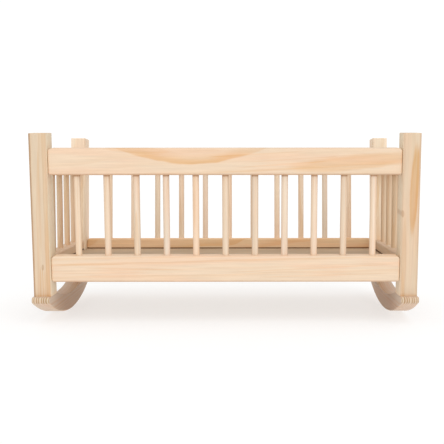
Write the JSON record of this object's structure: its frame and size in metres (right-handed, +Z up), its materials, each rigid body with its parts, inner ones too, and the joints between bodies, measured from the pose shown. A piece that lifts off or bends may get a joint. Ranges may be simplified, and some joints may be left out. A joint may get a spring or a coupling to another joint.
{
  "type": "rocking cradle",
  "caption": "Slatted doll-size rocking cradle in natural pine, with outward-leaning sides on round spindles, rectangular posts, curved rockers and a drop-in base board.",
  "frame": {"origin": "on the floor, under the middle of the cradle", "axes": "+X along the cradle, +Y to the back, +Z up"},
  "size_m": [0.501, 0.3034, 0.2503],
  "materials": {
    "post_pine": "sanded natural pine, grain up the post",
    "rail_pine": "sanded natural pine, grain along the rail",
    "rocker_pine": "sanded natural pine, growth rings on the ends",
    "spindle_wood": "sanded natural softwood dowel",
    "base_plywood": "raw plywood",
    "cleat_pine": "raw pine",
    "pin_beech": "beech dowel",
    "steel": "zinc-plated steel"
  },
  "bodies": {
    "frame": {"post_front_left": "post_pine", "post_front_right": "post_pine", "post_back_left": "post_pine", "post_back_right": "post_pine", "front_top_rail": "rail_pine", "front_bottom_rail": "rail_pine", "back_top_rail": "rail_pine", "back_bottom_rail": "rail_pine", "left_top_rail": "rail_pine", "left_bottom_rail": "rail_pine", "right_top_rail": "rail_pine", "right_bottom_rail": "rail_pine", "left_rocker": "rocker_pine", "right_rocker": "rocker_pine", "front_spindle_1": "spindle_wood", "front_spindle_2": "spindle_wood", "front_spindle_3": "spindle_wood", "front_spindle_4": "spindle_wood", "front_spindle_5": "spindle_wood", "front_spindle_6": "spindle_wood", "front_spindle_7": "spindle_wood", "front_spindle_8": "spindle_wood", "front_spindle_9": "spindle_wood", "front_spindle_10": "spindle_wood", "front_spindle_11": "spindle_wood", "back_spindle_1": "spindle_wood", "back_spindle_2": "spindle_wood", "back_spindle_3": "spindle_wood", "back_spindle_4": "spindle_wood", "back_spindle_5": "spindle_wood", "back_spindle_6": "spindle_wood", "back_spindle_7": "spindle_wood", "back_spindle_8": "spindle_wood", "back_spindle_9": "spindle_wood", "back_spindle_10": "spindle_wood", "back_spindle_11": "spindle_wood", "left_spindle_1": "spindle_wood", "left_spindle_2": "spindle_wood", "left_spindle_3": "spindle_wood", "left_spindle_4": "spindle_wood", "right_spindle_1": "spindle_wood", "right_spindle_2": "spindle_wood", "right_spindle_3": "spindle_wood", "right_spindle_4": "spindle_wood", "front_cleat": "cleat_pine", "back_cleat": "cleat_pine", "left_cleat": "cleat_pine", "right_cleat": "cleat_pine", "side_rail_pins": "pin_beech", "end_rail_pins": "pin_beech", "rocker_pins": "pin_beech", "cleat_screws": "steel"},
    "base": {"base_board": "base_plywood"}
  },
  "joints": [
    {"name": "base_lift", "type": "slide", "parent": "frame", "child": "base", "axis": [0, 0, 1], "range_m": [0, 0.185]}
  ]
}
